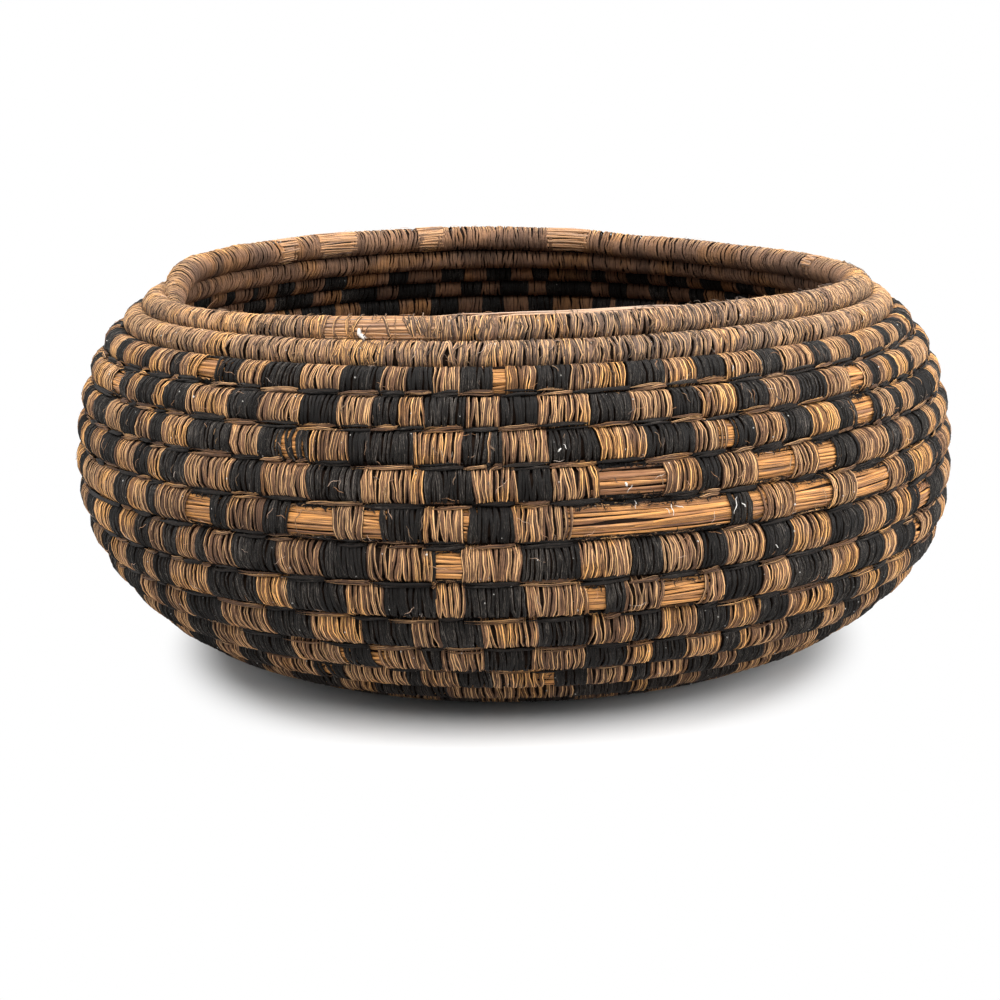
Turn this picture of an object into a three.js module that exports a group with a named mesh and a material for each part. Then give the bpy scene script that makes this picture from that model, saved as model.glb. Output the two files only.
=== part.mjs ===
// A round coiled basket: one long bundle of splints winds from the centre of the base out to the rim,
// and strands bound round the bundle sew each row to the row before it.
// Millimetres, +Z up, origin on the floor under the middle of the base. The front of the basket faces -Y.

import * as THREE from 'three';

// The middle line of the coil in section, from the rim down to the base. At each knot of the line
// stand its radius and height, its slope in degrees below level, and the pitch of the rows along it.
// The shoulder is placed from the rim, and the flank from the belly, which is the widest place.
const RIM_RADIUS = 123.5;
const RIM_HEIGHT = 134;
const RIM_SLOPE = 50;
const RIM_ROW_PITCH = 13.6;
const SHOULDER_STEP = 11;
const SHOULDER_DROP = 14.5;
const SHOULDER_SLOPE = 32;
const SHOULDER_ROW_PITCH = 9.4;
const BELLY_RADIUS = 154.3;
const BELLY_HEIGHT = 67;
const BELLY_ROW_PITCH = 11.8;
const FLANK_STEP = 10;
const FLANK_DROP = 30.5;
const FLANK_SLOPE = 125;
const FLANK_ROW_PITCH = 12.3;
const BASE_RADIUS = 92;
const BASE_ROW_PITCH = 10.9;

// The coil: its thickness through the wall, the binding round its core, and how far the crest of a
// row starts from the seam with its neighbour.
const COIL_THICKNESS = 11.4;
const BINDING_THICKNESS = 1.3;
const CREST_INSET = 2.4;
const CLEARANCE = 0.3;

// Turns along the coil are counted from the front of the basket. The rim point is half a turn on,
// and the coil ends before it, where its tip tapers and thins.
const RIM_TURN = 0.5;
const COIL_END_TURN = 0.22;
const TAPER_STEPS = 2;
const TIP_SHARE = 0.3;

// How far from the middle of the base the coil starts, beside the knot of strands that it grows from.
const COIL_START_RADIUS = 10.1;

// The strand of the resting colour, carried in the outer groove under each chequered row: how far
// its outer face lies from the seam of the two rows that hold it.
const FIRST_CARRIED_ROW = 3;
const LAST_CARRIED_ROW = 13;
const CARRIED_CREST = 4.2;

// Facets: steps in one turn, and in a turn of less than the coarse radius.
const COARSE_RADIUS = 45;
const COARSE_STEPS = 12;
const STEPS_PER_TURN = 2 * COARSE_STEPS;
const SAMPLE_COUNT = 48;
const LEAST_COIL_GAP = 0.4;

const NATURAL = { color: 0x8f6f4a, roughness: 0.75, metalness: 0 };
const BLACK = { color: 0x2b2a2a, roughness: 0.8, metalness: 0 };
const SPLINT = { color: 0xb8894e, roughness: 0.65, metalness: 0 };

const HALF_COIL = COIL_THICKNESS / 2;
const HALF_CLEARANCE = CLEARANCE / 2;
const UPRIGHT = 90;
const LEVEL_INWARDS = 180;

function profileKnot(radius, height, slope, rowPitch) {
  const angle = THREE.MathUtils.degToRad(slope);
  const direction = new THREE.Vector2(Math.cos(angle), -Math.sin(angle));
  return { point: new THREE.Vector2(radius, height), direction, rowPitch };
}

const PROFILE = [
  profileKnot(RIM_RADIUS, RIM_HEIGHT, RIM_SLOPE, RIM_ROW_PITCH),
  profileKnot(
    RIM_RADIUS + SHOULDER_STEP,
    RIM_HEIGHT - SHOULDER_DROP,
    SHOULDER_SLOPE,
    SHOULDER_ROW_PITCH,
  ),
  profileKnot(BELLY_RADIUS, BELLY_HEIGHT, UPRIGHT, BELLY_ROW_PITCH),
  profileKnot(
    BELLY_RADIUS - FLANK_STEP,
    BELLY_HEIGHT - FLANK_DROP,
    FLANK_SLOPE,
    FLANK_ROW_PITCH,
  ),
  profileKnot(BASE_RADIUS, HALF_COIL, LEVEL_INWARDS, BASE_ROW_PITCH),
];

// A point of the smooth line from one knot to the next, at a share of the way.
function profileCurve(upper, lower, share) {
  const rest = 1 - share;
  const start = (1 + 2 * share) * rest * rest;
  const span = upper.point.distanceTo(lower.point);
  return new THREE.Vector2()
    .addScaledVector(upper.point, start)
    .addScaledVector(lower.point, 1 - start)
    .addScaledVector(upper.direction, share * rest * rest * span)
    .addScaledVector(lower.direction, -share * share * rest * span);
}

// Points close together along the line, each with the number of row pitches from the rim to it.
function measureProfile() {
  const samples = [{ rows: 0, point: PROFILE[0].point }];
  for (let knot = 1; knot < PROFILE.length; knot += 1) {
    const upper = PROFILE[knot - 1];
    const lower = PROFILE[knot];
    for (let k = 1; k <= SAMPLE_COUNT; k += 1) {
      const point = profileCurve(upper, lower, k / SAMPLE_COUNT);
      const pitch = THREE.MathUtils.lerp(upper.rowPitch, lower.rowPitch, (k - 0.5) / SAMPLE_COUNT);
      const before = samples.at(-1);
      samples.push({ rows: before.rows + point.distanceTo(before.point) / pitch, point });
    }
  }
  return samples;
}

const SAMPLES = measureProfile();

// The coil has a whole number of turns, so its rows are stretched or pressed together a little.
const FREE_ROWS = SAMPLES.at(-1).rows + (BASE_RADIUS - COIL_START_RADIUS) / BASE_ROW_PITCH;
const ROWS = Math.round(FREE_ROWS + RIM_TURN - COIL_END_TURN);
const COIL_START_TURN = COIL_END_TURN + ROWS;
const TURNS_PER_ROW = (COIL_START_TURN - RIM_TURN) / FREE_ROWS;

// The middle line of the coil at a number of turns: x is the radius, y is the height. It runs
// straight on past the rim, and level across the base.
function profileAt(turn) {
  const rows = (turn - RIM_TURN) / TURNS_PER_ROW;
  const rim = PROFILE[0];
  const base = PROFILE.at(-1);
  const last = SAMPLES.at(-1);
  if (rows <= 0) {
    return rim.point.clone().addScaledVector(rim.direction, rows * rim.rowPitch);
  }
  if (rows >= last.rows) {
    return base.point.clone().addScaledVector(base.direction, (rows - last.rows) * base.rowPitch);
  }
  const i = SAMPLES.findIndex((sample) => sample.rows > rows) - 1;
  const share = (rows - SAMPLES[i].rows) / (SAMPLES[i + 1].rows - SAMPLES[i].rows);
  return SAMPLES[i].point.clone().lerp(SAMPLES[i + 1].point, share);
}

// The seam between two rows, half a turn from the middle of each: its point, and the directions along
// the wall, towards the base, and out of the wall.
function seamAt(turn) {
  return frameBetween(profileAt(turn), profileAt(turn - 0.5), profileAt(turn + 0.5));
}

function frameBetween(point, upper, lower) {
  const along = lower.clone().sub(upper).normalize();
  return { point, along, out: new THREE.Vector2(-along.y, along.x) };
}

// The section of the coil at a turn: its middle, and its seams above and below.
function sectionAt(turn) {
  const upper = seamAt(turn - 0.5);
  const lower = seamAt(turn + 0.5);
  const middle = upper.point.clone().lerp(lower.point, 0.5);
  const halfRow = upper.point.distanceTo(lower.point) / 2;
  return { turn, upper, lower, halfRow, ...frameBetween(middle, upper.point, lower.point) };
}

function offsetPoint(frame, along, out) {
  return frame.point.clone().addScaledVector(frame.along, along).addScaledVector(frame.out, out);
}

// Six corners of the bound coil: an edge at each seam, and a crest outside and inside.
function boundOutline({ upper, lower }) {
  return [
    offsetPoint(lower, -HALF_CLEARANCE, 0),
    offsetPoint(lower, -CREST_INSET, HALF_COIL),
    offsetPoint(upper, CREST_INSET, HALF_COIL),
    offsetPoint(upper, HALF_CLEARANCE, 0),
    offsetPoint(upper, CREST_INSET, -HALF_COIL),
    offsetPoint(lower, -CREST_INSET, -HALF_COIL),
  ];
}

// Four corners, a given distance inside the six: the bore of the binding, and the splints in it.
function innerOutline(section, inset) {
  const edge = section.halfRow - HALF_CLEARANCE - inset;
  const crest = HALF_COIL - inset;
  return [
    offsetPoint(section, edge, 0),
    offsetPoint(section, 0, crest),
    offsetPoint(section, -edge, 0),
    offsetPoint(section, 0, -crest),
  ];
}

const boreOutline = (section) => innerOutline(section, BINDING_THICKNESS);
const splintOutline = (section) => innerOutline(section, BINDING_THICKNESS + CLEARANCE * Math.SQRT2);

// The strand carried in the groove of a seam: a flat face outwards, one edge deep between the rows,
// and two flanks a clearance away from theirs.
function carriedOutline(section) {
  const slope = (CREST_INSET - HALF_CLEARANCE) / HALF_COIL;
  const clear = CLEARANCE * Math.hypot(1, slope);
  const halfWidth = HALF_CLEARANCE + CARRIED_CREST * slope - clear;
  const root = (clear - HALF_CLEARANCE) / slope;
  return [
    offsetPoint(section.lower, halfWidth, CARRIED_CREST),
    offsetPoint(section.lower, -halfWidth, CARRIED_CREST),
    offsetPoint(section.lower, 0, root),
  ];
}

// A skin over rings of corners, one ring at each station. Corners run one way round, and the skin
// of a bore is turned inside out.
function addSkin(mesh, rings, isBore) {
  const corners = rings[0].length;
  const first = mesh.points.length;
  rings.forEach((ring) => mesh.points.push(...ring));
  for (let i = 0; i + 1 < rings.length; i += 1) {
    for (let j = 0; j < corners; j += 1) {
      const a = first + i * corners + j;
      const b = first + i * corners + ((j + 1) % corners);
      const c = b + corners;
      const d = a + corners;
      addFace(mesh, a, b, c, isBore);
      addFace(mesh, a, c, d, isBore);
    }
  }
  return first;
}

function addFace(mesh, a, b, c, flipped) {
  if (flipped) {
    mesh.faces.push(a, c, b);
  } else {
    mesh.faces.push(a, b, c);
  }
}

// A flat end between a ring of corners and, where there is one, the ring of the bore inside it.
function addEnd(mesh, outline, outerFirst, bore, boreFirst, flipped) {
  const contour = outline.map((point) => point.clone());
  const holes = bore ? [bore.map((point) => point.clone())] : [];
  const index = (i) => (i < outline.length ? outerFirst + i : boreFirst + i - outline.length);
  THREE.ShapeUtils.triangulateShape(contour, holes).forEach(([a, b, c]) => {
    const area = triangleArea([...contour, ...holes.flat()], a, b, c);
    addFace(mesh, index(a), index(b), index(c), (area > 0) !== flipped);
  });
}

function triangleArea(points, a, b, c) {
  const side = points[b].clone().sub(points[a]);
  return side.cross(points[c].clone().sub(points[a]));
}

function finish(mesh) {
  const geometry = new THREE.BufferGeometry();
  const positions = mesh.points.flatMap((point) => point.toArray());
  geometry.setAttribute('position', new THREE.Float32BufferAttribute(positions, 3));
  geometry.setIndex(mesh.faces);
  geometry.computeVertexNormals();
  return geometry;
}

// A solid rod along its stations, with an outline at each of them.
function rodGeometry(stations, outlineOf) {
  const mesh = { points: [], faces: [] };
  const outlines = stations.map((station) => outlineOf(station.section));
  const rings = stations.map((station, i) => ringOf(station, outlines[i]));
  const corners = outlines[0].length;
  const first = addSkin(mesh, rings, false);
  addEnd(mesh, outlines[0], first, null, 0, false);
  addEnd(mesh, outlines.at(-1), first + (rings.length - 1) * corners, null, 0, true);
  return finish(mesh);
}

// A sleeve of binding along its stations. Its bore starts after a number of closed steps.
function sleeveGeometry(stations, closedSteps) {
  const mesh = { points: [], faces: [] };
  const outlines = stations.map((station) => boundOutline(station.section));
  const rings = stations.map((station, i) => ringOf(station, outlines[i]));
  const boreStations = stations.slice(closedSteps);
  const bores = boreStations.map((station) => boreOutline(station.section));
  const boreRings = boreStations.map((station, i) => ringOf(station, bores[i]));
  const outerFirst = addSkin(mesh, rings, false);
  const boreFirst = addSkin(mesh, boreRings, true);
  const outerLast = outerFirst + (rings.length - 1) * outlines[0].length;
  const boreLast = boreFirst + (boreRings.length - 1) * bores[0].length;
  if (closedSteps > 0) {
    addEnd(mesh, outlines[0], outerFirst, null, 0, false);
    addEnd(mesh, bores[0], boreFirst, null, 0, true);
  } else {
    addEnd(mesh, outlines[0], outerFirst, bores[0], boreFirst, false);
  }
  addEnd(mesh, outlines.at(-1), outerLast, bores.at(-1), boreLast, true);
  return finish(mesh);
}

// The corners of an outline in the round, drawn in towards the seam below by the station's share.
// The coil is pressed flat where the basket stands on it.
function ringOf({ section, share }, outline) {
  const angle = 2 * Math.PI * section.turn;
  return outline.map((corner) => {
    const flat = section.lower.point.clone().lerp(corner, share);
    const height = Math.max(flat.y, 0);
    return new THREE.Vector3(-flat.x * Math.sin(angle), -flat.x * Math.cos(angle), height);
  });
}

// Turns at which the coil has a section, for one row.
function rowTurns(row) {
  const first = COIL_END_TURN + row - 1;
  const steps = profileAt(first).x < COARSE_RADIUS ? COARSE_STEPS : STEPS_PER_TURN;
  const turns = [];
  for (let i = 0; i <= steps; i += 1) {
    turns.push(first + i / steps);
  }
  return turns;
}

// The coil thins to a tip at the rim, where it lies down on the row below.
function stationAt(turn) {
  const taper = (turn - COIL_END_TURN) * STEPS_PER_TURN / TAPER_STEPS;
  const share = TIP_SHARE + (1 - TIP_SHARE) * Math.min(Math.max(taper, 0), 1);
  return { section: sectionAt(turn), share };
}

// Half a clearance along the coil, as a share of a turn.
function halfGap(radius) {
  return CLEARANCE / (4 * Math.PI * radius);
}

// The ends of neighbouring pieces stop half a clearance short of each other.
function trimmedTurns(turns, trimFirst) {
  const trimmed = [...turns];
  if (trimFirst) {
    trimmed[0] += halfGap(profileAt(turns[0]).x);
  }
  trimmed[trimmed.length - 1] -= halfGap(profileAt(turns.at(-1)).x);
  return trimmed;
}

function bindingGeometry(row) {
  const stations = trimmedTurns(rowTurns(row), row > 1).map(stationAt);
  return sleeveGeometry(stations, row === 1 ? TAPER_STEPS : 0);
}

// Every turn of the bundle of splints, as one unbroken rod inside the binding.
function foundationStations() {
  const turns = [];
  for (let row = 1; row <= ROWS; row += 1) {
    const ownTurns = rowTurns(row);
    turns.push(...(row < ROWS ? ownTurns.slice(0, -1) : ownTurns));
  }
  const covered = turns.slice(TAPER_STEPS);
  covered[0] += halfGap(profileAt(covered[0]).x) * 2;
  return trimmedTurns(covered, false).map(stationAt);
}

// The least distance between a corner of the coil and the corners a turn or so further on.
function leastCoilGap(stations) {
  const rings = stations.map((station) => ringOf(station, splintOutline(station.section)));
  let least = Infinity;
  for (let i = 0; i < rings.length; i += 1) {
    for (let j = i + 1; j < rings.length; j += 1) {
      const turns = stations[j].section.turn - stations[i].section.turn;
      if (turns > 0.5 && turns < 1.5) {
        rings[i].forEach((a) => rings[j].forEach((b) => {
          least = Math.min(least, a.distanceTo(b));
        }));
      }
    }
  }
  return least;
}

function carriedGeometry(row) {
  const turns = trimmedTurns(rowTurns(row), true);
  const stations = turns.map((turn) => ({ section: sectionAt(turn), share: 1 }));
  return rodGeometry(stations, carriedOutline);
}

// The knot fills the middle of the innermost turn, and its step meets the first end of the coil.
function startKnotGeometry() {
  const corners = [];
  for (let i = COARSE_STEPS; i >= 0; i -= 1) {
    const turn = COIL_START_TURN - i / COARSE_STEPS;
    const radius = profileAt(turn + 0.5).x - HALF_CLEARANCE;
    const atStep = i === COARSE_STEPS || i === 0;
    const angle = 2 * Math.PI * (turn + (atStep ? halfGap(radius) : 0));
    corners.push(new THREE.Vector2(-radius * Math.sin(angle), -radius * Math.cos(angle)));
  }
  return new THREE.ExtrudeGeometry(new THREE.Shape(corners), {
    depth: COIL_THICKNESS,
    bevelEnabled: false,
  });
}

const basket = new THREE.Group();

function addPiece(name, geometry, finishOf) {
  const mesh = new THREE.Mesh(geometry, new THREE.MeshStandardMaterial(finishOf));
  mesh.name = name;
  basket.add(mesh);
}

const twoDigits = (number) => String(number).padStart(2, '0');

const foundation = foundationStations();
const coilGap = leastCoilGap(foundation);
console.log(`foundation coil: least gap between its turns ${coilGap.toFixed(2)} mm`);
console.log(`more than ${LEAST_COIL_GAP} mm: ${coilGap > LEAST_COIL_GAP}`);
addPiece('foundation_coil', rodGeometry(foundation, splintOutline), SPLINT);

for (let row = 1; row <= ROWS; row += 1) {
  addPiece(`binding_row_${twoDigits(row)}`, bindingGeometry(row), NATURAL);
}

for (let row = FIRST_CARRIED_ROW; row <= LAST_CARRIED_ROW; row += 1) {
  addPiece(`carried_strand_${twoDigits(row)}`, carriedGeometry(row), BLACK);
}

addPiece('start_knot', startKnotGeometry(), NATURAL);

export default basket;
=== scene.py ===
import bpy
import math
import numpy as np
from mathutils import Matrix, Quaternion, Vector


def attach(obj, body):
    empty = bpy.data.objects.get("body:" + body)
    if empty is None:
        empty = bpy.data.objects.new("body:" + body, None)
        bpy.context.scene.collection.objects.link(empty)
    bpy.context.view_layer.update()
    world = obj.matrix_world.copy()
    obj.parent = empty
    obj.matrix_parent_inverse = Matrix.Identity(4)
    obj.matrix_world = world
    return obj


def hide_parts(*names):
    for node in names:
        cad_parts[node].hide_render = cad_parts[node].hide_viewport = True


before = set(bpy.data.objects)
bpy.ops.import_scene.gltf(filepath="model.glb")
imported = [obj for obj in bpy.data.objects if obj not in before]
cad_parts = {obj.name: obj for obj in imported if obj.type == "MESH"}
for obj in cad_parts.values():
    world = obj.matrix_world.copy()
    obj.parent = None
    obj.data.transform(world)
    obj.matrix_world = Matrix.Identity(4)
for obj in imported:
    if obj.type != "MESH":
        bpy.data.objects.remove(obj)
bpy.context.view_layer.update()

bl_info = {
    "name": "Coiled Basket",
    "version": (1, 0, 0),
    "blender": (4, 5, 0),
    "location": "View3D > Sidebar > Basket",
    "description": "Builds a coiled basket of split stems bound with brown and black strands",
    "category": "Add Mesh",
}

BODY = "root"
TAU = 2 * math.pi

# A turn is counted from the rim down: whole numbers lie at the basket's front, and a row ends a little past its number.
ROWS = 23
FIRST_PATTERNED_ROW = 3
LAST_CARRIED_ROW = 13
COIL_END_TURN = 0.22
RIM_TURN = 0.5
KNOT_TURNS = 1.10
# Steps in which the profile is measured between two of its knots
SAMPLES_PER_SPAN = 48

# The tip at the rim: where it starts, over how many turns it thickens, from what share, and how far it dips
TIP_TURN = 0.175
TAPER_TURN = 0.09
TIP_SHARE = 0.25
TIP_SINK = 0.0080
TIP_SINK_TURN, TIP_SINK_OVER = 0.285, 0.10
# The rim's coil is slimmer up to here, and full so much later
SLIM_UNTIL, SLIM_OVER = 1.15, 0.25

# Where a strand bends on its way round the section, from inward, by row: evenly, mostly outward, or seldom
LAST_INNER_ROW = 5
LAST_FINE_ROW = 13
EVEN_STATIONS = tuple(k / 13 for k in range(13))
OUTWARD_STATIONS = (0.0, 0.13, 0.25, 0.33, 0.40, 0.47, 0.53, 0.60, 0.67, 0.75, 0.87)
COARSE_STATIONS = tuple(k / 7 for k in range(7))
# A strand's own section: place across it, and how far it stands out there; then its depth, its corners and its bow
STRAND_RIBS = ((-0.5, 0.0), (-0.28, 1.0), (-0.03, 0.45), (0.22, 0.9), (0.5, 0.0))
STRAND_DEPTH = 0.06
STRAND_SQUARENESS = 0.88
STRAND_BOW = 0.3

# The pattern as it runs along each row, in strands: n natural brown, b dyed black, w worn off.
# Each row starts so many strands left of the basket's front.
CHART_STRAND = 0.00112
PATTERN = {
    3: (-156, "n12 b7 n14 b5 n12 b4 n9 w6 b9 n8 b12 n12 b11 n7 b7 n7 b9 w2 n9 b9 n15 b10 n9 b9 n11 b7 n13 b7 "
              "n10 b5 n15 b5"),
    4: (-170, "n29 w7 b6 n5 b11 n5 b9 n16 b11 n13 b11 n10 b7 n7 b10 n9 b10 n13 b11 n11 b9 n11 b10 n10 b11 n11 "
              "w6 n4 b5 n7 b4 n9 b6 n6"),
    5: (-164, "n9 b13 n11 b10 n8 b6 n11 b16 n10 b7 w1 b2 w1 b4 n12 b17 n13 b6 n1 b3 n12 b12 n13 b13 n10 w2 b7 "
              "n9 b10 n11 b7 w9 b4 n7 b5 n8 b15"),
    6: (-171, "n8 b8 n10 b12 n12 b7 n6 b11 n17 b10 n14 b16 n17 b12 n11 b9 n13 w17 n10 b6 n11 w12 n9 w7 b9 n15 "
              "b8 n7 b12 n8"),
    7: (-190, "n16 b8 n32 b8 n11 b5 n14 w8 b7 n12 b8 w13 n8 w4 b12 n11 w1 b12 n15 w42 b7 w4 n11 w13 n10 w15 n9 "
              "b7 n15 b11"),
    8: (-154, "n14 b7 n11 b7 n7 b6 n8 b4 n10 b14 n14 b13 n17 b1 w7 n15 b15 n14 b8 n11 b7 n12 b9 n14 b14 n11 b6 "
              "n9 b6 w9 b8"),
    9: (-144, "n13 b10 n6 b8 n16 b18 n10 b17 n11 b14 n7 b16 n16 w5 b5 n11 w11 n6 b12 n9 b15 n12 b11 n8 b12 w4 "
              "n10 b13"),
    10: (-151, "n8 b15 n11 b5 n10 b15 n17 b13 n15 b14 n8 b11 n14 b14 n12 b7 n10 b10 n10 b9 n17 b12 n10 b4 n15 "
               "b14"),
    11: (-125, "b10 n9 b12 n14 b16 n15 w1 b9 w2 n13 b4 n11 b13 n14 b11 n7 b10 n11 b6 n15 b14 n10 b8 n11 b13 n20"),
    12: (-97, "n11 b11 n17 b2 w3 b4 n19 b4 n10 b9 n14 w3 b9 n12 b5 n11 b9 n6 b10 n6"),
    13: (-90, "b9 n12 b18 n11 b21 n34 b16 n5 b9 n7"),
}
# The same along the inside of the back wall
BACK_PATTERN = {
    3: (276, "b6 n6 b9 n7 b10 n6 b10 n8 b9 n9 b6 n18 b6 n10 b9 n9 b10 n14 b9 n18 b11 n15 b8 n11 b3 n10 b6 n10"),
    4: (303, "n4 b11 n10 b7 n10 b8 n9 b8 n8 b18 n8 b11 n8 b9 n10 b16 n9 b17 n13 b19 n4 b12 n4"),
    5: (340, "b12 n9 b17 n3 b7 n17 b10 n10 b9 n10 b11 n14 b17 n11 b16 n6 b2 n7"),
}
# Blocks that the photo doesn't show: from so many strands to less than so many, and none shorter than this
OTHER_BLOCKS = (8, 17)
LEAST_BLOCK = 6

# The rim's worn stretches in strands right of the front: at the front, then at the back
RIM_WORN = ((-52, -21), (214, 216.6), (328, 340), (387, 393), (424.5, 437.5), (453, 458))
# Wraps still left on the front one, and how far each leans in degrees
RIM_LONE_WRAPS = ((-48.3, 4), (-45.2, -6), (-42.5, -14), (-34.5, 10), (-28.2, 32),
                  (-27.0, 28), (-25.6, 36), (-24.4, 24), (-23.2, 20), (-21.9, 12))
# The stems that show along the rim's upper edge: from and to, in strands, and their angles from outward
RIM_EDGE_WORN = (-10, 38)
RIM_EDGE_ANGLES = (-66, -60, -54, -48, -42)
RIM_STRAND_SHARE = 0.88
# Stretches of the first row that start before this turn lie at the back
BACK_UNTIL = 0.8
# White lint: row, strands right of the front, degrees from outward towards the row below, length, girth,
# and the heading where the photo shows it
LINT = (
    (1, -40.6, 42, 0.0050, 4.8, 2.1), (6, 28.5, 10, 0.0014, 2.2), (6, 29.3, 25, 0.0030, 0.5),
    (7, 31.5, -52, 0.0035, 0.6), (7, 41.0, -25, 0.0040, 0.8), (7, 43.0, -30, 0.0028, 0.7),
    (7, 39.8, -20, 0.0022, 0.6), (7, 59.0, -15, 0.0055, 0.8), (7, 61.5, -12, 0.0018, 1.1),
    (5, 11.5, 15, 0.0014, 1.3), (5, 13.0, 5, 0.0018, 0.6), (3, 60.0, 30, 0.0022, 0.7),
    (8, 72.0, 10, 0.0016, 0.8),
)
# The fibre that stands up off the rim: row, strands right of the front, length, lean to the right
STANDING_FIBRE = (1, -104, 0.0044, math.radians(42))

# The tables that follow go by degrees round the basket, from its front to the right.
# How far the rim dips
RIM_DIPS = ((0, 0.0), (30, 0.0), (60, -0.0010), (90, -0.0030), (130, -0.0030), (152, -0.0018), (170, 0.0005),
            (185, 0.0012), (215, 0.0003), (240, -0.0012), (255, -0.0024), (290, -0.0021), (315, -0.0015),
            (345, 0.0), (360, 0.0))
# How light the rim's strands are
RIM_TONES = ((0, 0.65), (40, 0.65), (75, 0.75), (110, 0.75), (180, 0.65), (225, 0.85), (250.5, 0.85),
             (251.8, -0.35), (254.0, -0.35), (255.2, 0.8), (285, 0.9), (318, 1.1), (342, 0.8), (360, 0.65))
# How dusty the rim is
RIM_DUST = ((0, 0.13), (45, 0.12), (90, 0.05), (250, 0.04), (315, 0.07), (360, 0.13))
# The basket's unevenness. The rim's dips: from which height, and fully so much higher
DIP_FROM, DIP_OVER = 0.116, 0.016
# The back stands higher: by how much, at which bearing, how far round; from which height, and fully so much higher
BACK_LIFT, BACK_AT, BACK_REACH, BACK_FROM, BACK_OVER = 0.0030, 180, 85, 0.05, 0.04
# The right flank swells: by how much, at which bearing, how far round; at which height, and how far from it
FLANK_SWELL, FLANK_AT, FLANK_REACH, FLANK_HEIGHT, FLANK_SPAN = 0.0020, 75, 60, 0.038, 0.03
LEAST_HEIGHT = 0.0003

# From this turn down the strands of two rows lap at their seam; above it they leave a hair's gap
SEAM_LAP, SEAM_GAP, LAP_FROM = 0.0003, 0.00012, 2.2
# Girth of the dark filling between two rows of the bundle, whose darkness is painted shade in the seam
SEAM_FILLING = 0.0033
# Stations of the bundle to one turn: down to the last fine turn, and in the base
BUNDLE_STEPS, BASE_STEPS, LAST_FINE_TURN = 80, 60, 15
# The long opening between two stems in the most worn row: row, its two stems' angles, and from and to in strands
VOID_ROW = 7
VOID_STEMS = (-4, 7)
VOID_FROM, VOID_TO = 20, 39
# The row with few reddish stems, in its stretches up to so many strands right of the front
PALE_ROW, PALE_UNTIL = 6, 45
# The covered bundle stays so far inside its binding; the binding of a worn stretch covers the ends of its stems so far
COVER_GAP, STEM_TUCK = 0.0009, 0.0025
# Bare stems lie so far under the binding's inside, and have a station so often along them
STEM_DEPTH, STEM_STATION = 0.0004, 0.0045
# How far the ends of the stems stray: in a stretch, and along the rim's edge
STEM_STRAY, EDGE_STRAY = 0.0004, 0.012
# How far the stems stand proud at the rim: in its worn stretches at the back, and along its edge
BACK_PROUD, EDGE_PROUD = 0.0005, 0.0008

# How strands differ: their widths, the steps between them, and how far one stands out beside the next
WIDTH_SPREAD, STEP_SPREAD, LIFT_SPREAD = (0.75, 1.40), (0.65, 1.35), 0.018
# Torn ends: least length of a stretch that has them, and the coil's length to each of them
TORN_LEAST, TORN_SPACING = 0.003, 0.00036
# The angles of the torn edges from outward: at the rim's back, at its front, and on the other rows; and of black rags
BACK_EDGES, RIM_EDGES, ROW_EDGES, RAG_EDGES = (2.35,), (1.32,), (-1.16, 1.26), (-1.5, 1.5)
# Loose fibres: how many, and the width, thickness, sides, wander and seed of both kinds
FRAYS, HAIRS = 1200, 800
TORN_FIBRE = (0.0007, 0.0004, 3, 0.0010, 3.0)
HAIR_FIBRE = (0.0004, 0.0003, 3, 0.0005, 4.0)
# Girth of a hair from one end to the other
HAIR_GIRTH = (0.5, 0.8, 1, 1, 1, 0.8, 0.4)

LINES = "Fibres Along A Line"
WINDING = "Strands Wound Round The Coil"
WOUND = "Wound Strands"
STEMS = "Split Stems"
BUNDLE = "Covered Bundle"
LOOSE = "Loose Hairs"


def length_setting(label, description, value):
    return bpy.props.FloatProperty(name=label, description=description, default=value, unit="LENGTH")


def angle_setting(label, description, degrees):
    return bpy.props.FloatProperty(name=label, description=description, default=math.radians(degrees), subtype="ANGLE")


def power_setting(label, description, value):
    return bpy.props.FloatProperty(name=label, description=description, default=value, unit="POWER")


def colour_setting(label, description, *value):
    return bpy.props.FloatVectorProperty(name=label, description=description, default=value, subtype="COLOR", size=3)


def tint_setting(label, description, *value):
    return bpy.props.FloatVectorProperty(name=label, description=description, default=value, max=2.0, size=3)


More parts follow.
